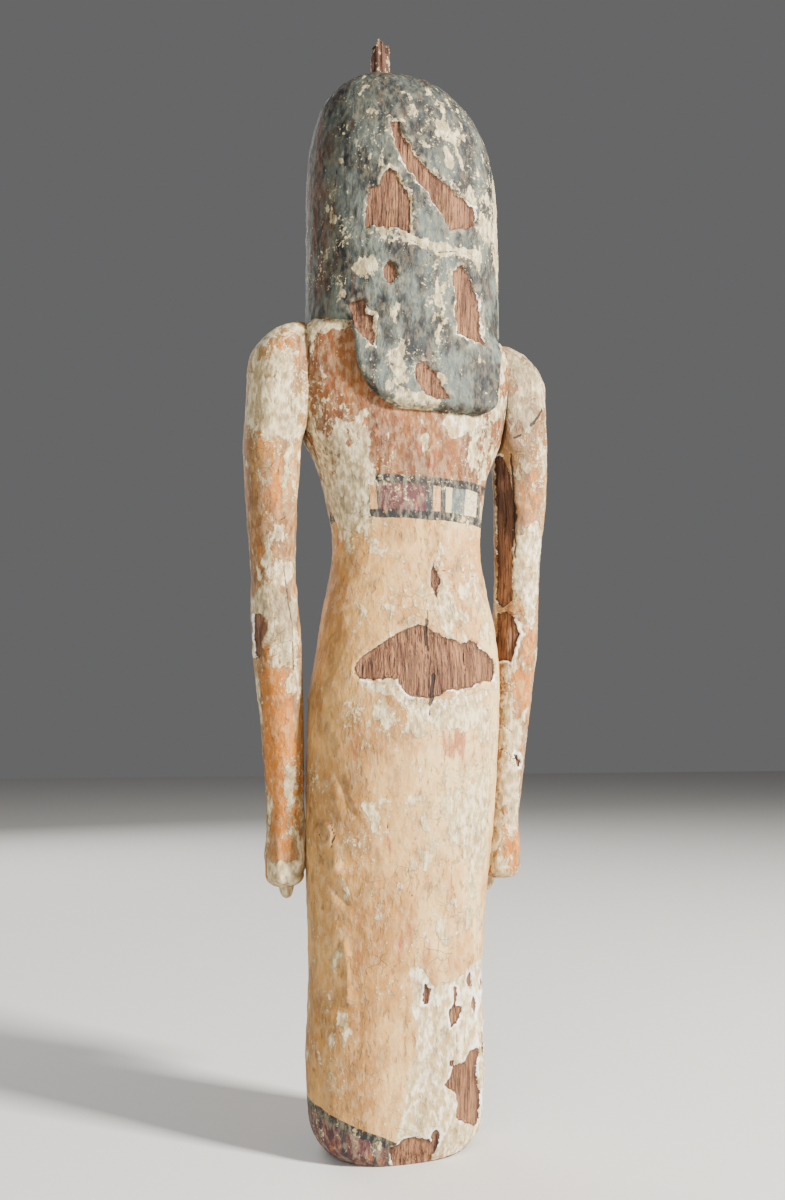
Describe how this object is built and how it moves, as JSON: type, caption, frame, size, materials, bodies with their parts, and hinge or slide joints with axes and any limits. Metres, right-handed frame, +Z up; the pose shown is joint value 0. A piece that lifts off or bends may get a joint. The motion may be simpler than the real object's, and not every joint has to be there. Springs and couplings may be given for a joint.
{
  "type": "wooden statuette",
  "caption": "Carved and painted wooden statuette of a standing woman in a long wig and sheath dress, arms at her sides, with the broken peg of a lost crown.",
  "frame": {"origin": "middle of the underside, on the surface the statuette stands on", "axes": "+Z up along the figure, -Y towards the side she faces, +X towards her left side"},
  "size_m": [0.1772, 0.0894, 0.617],
  "materials": {
    "painted_body": "gessoed wood painted golden tan, with a worn blue-black wig, cream gesso showing at the chips and bare brown wood where it is lost",
    "painted_arm": "gessoed wood painted orange ochre, flaked to cream gesso and brown wood",
    "bare_wood": "rough, split brown wood"
  },
  "bodies": {
    "root": {"body": "painted_body", "left_arm": "painted_arm", "right_arm": "painted_arm", "crown_peg": "bare_wood"}
  },
  "joints": []
}
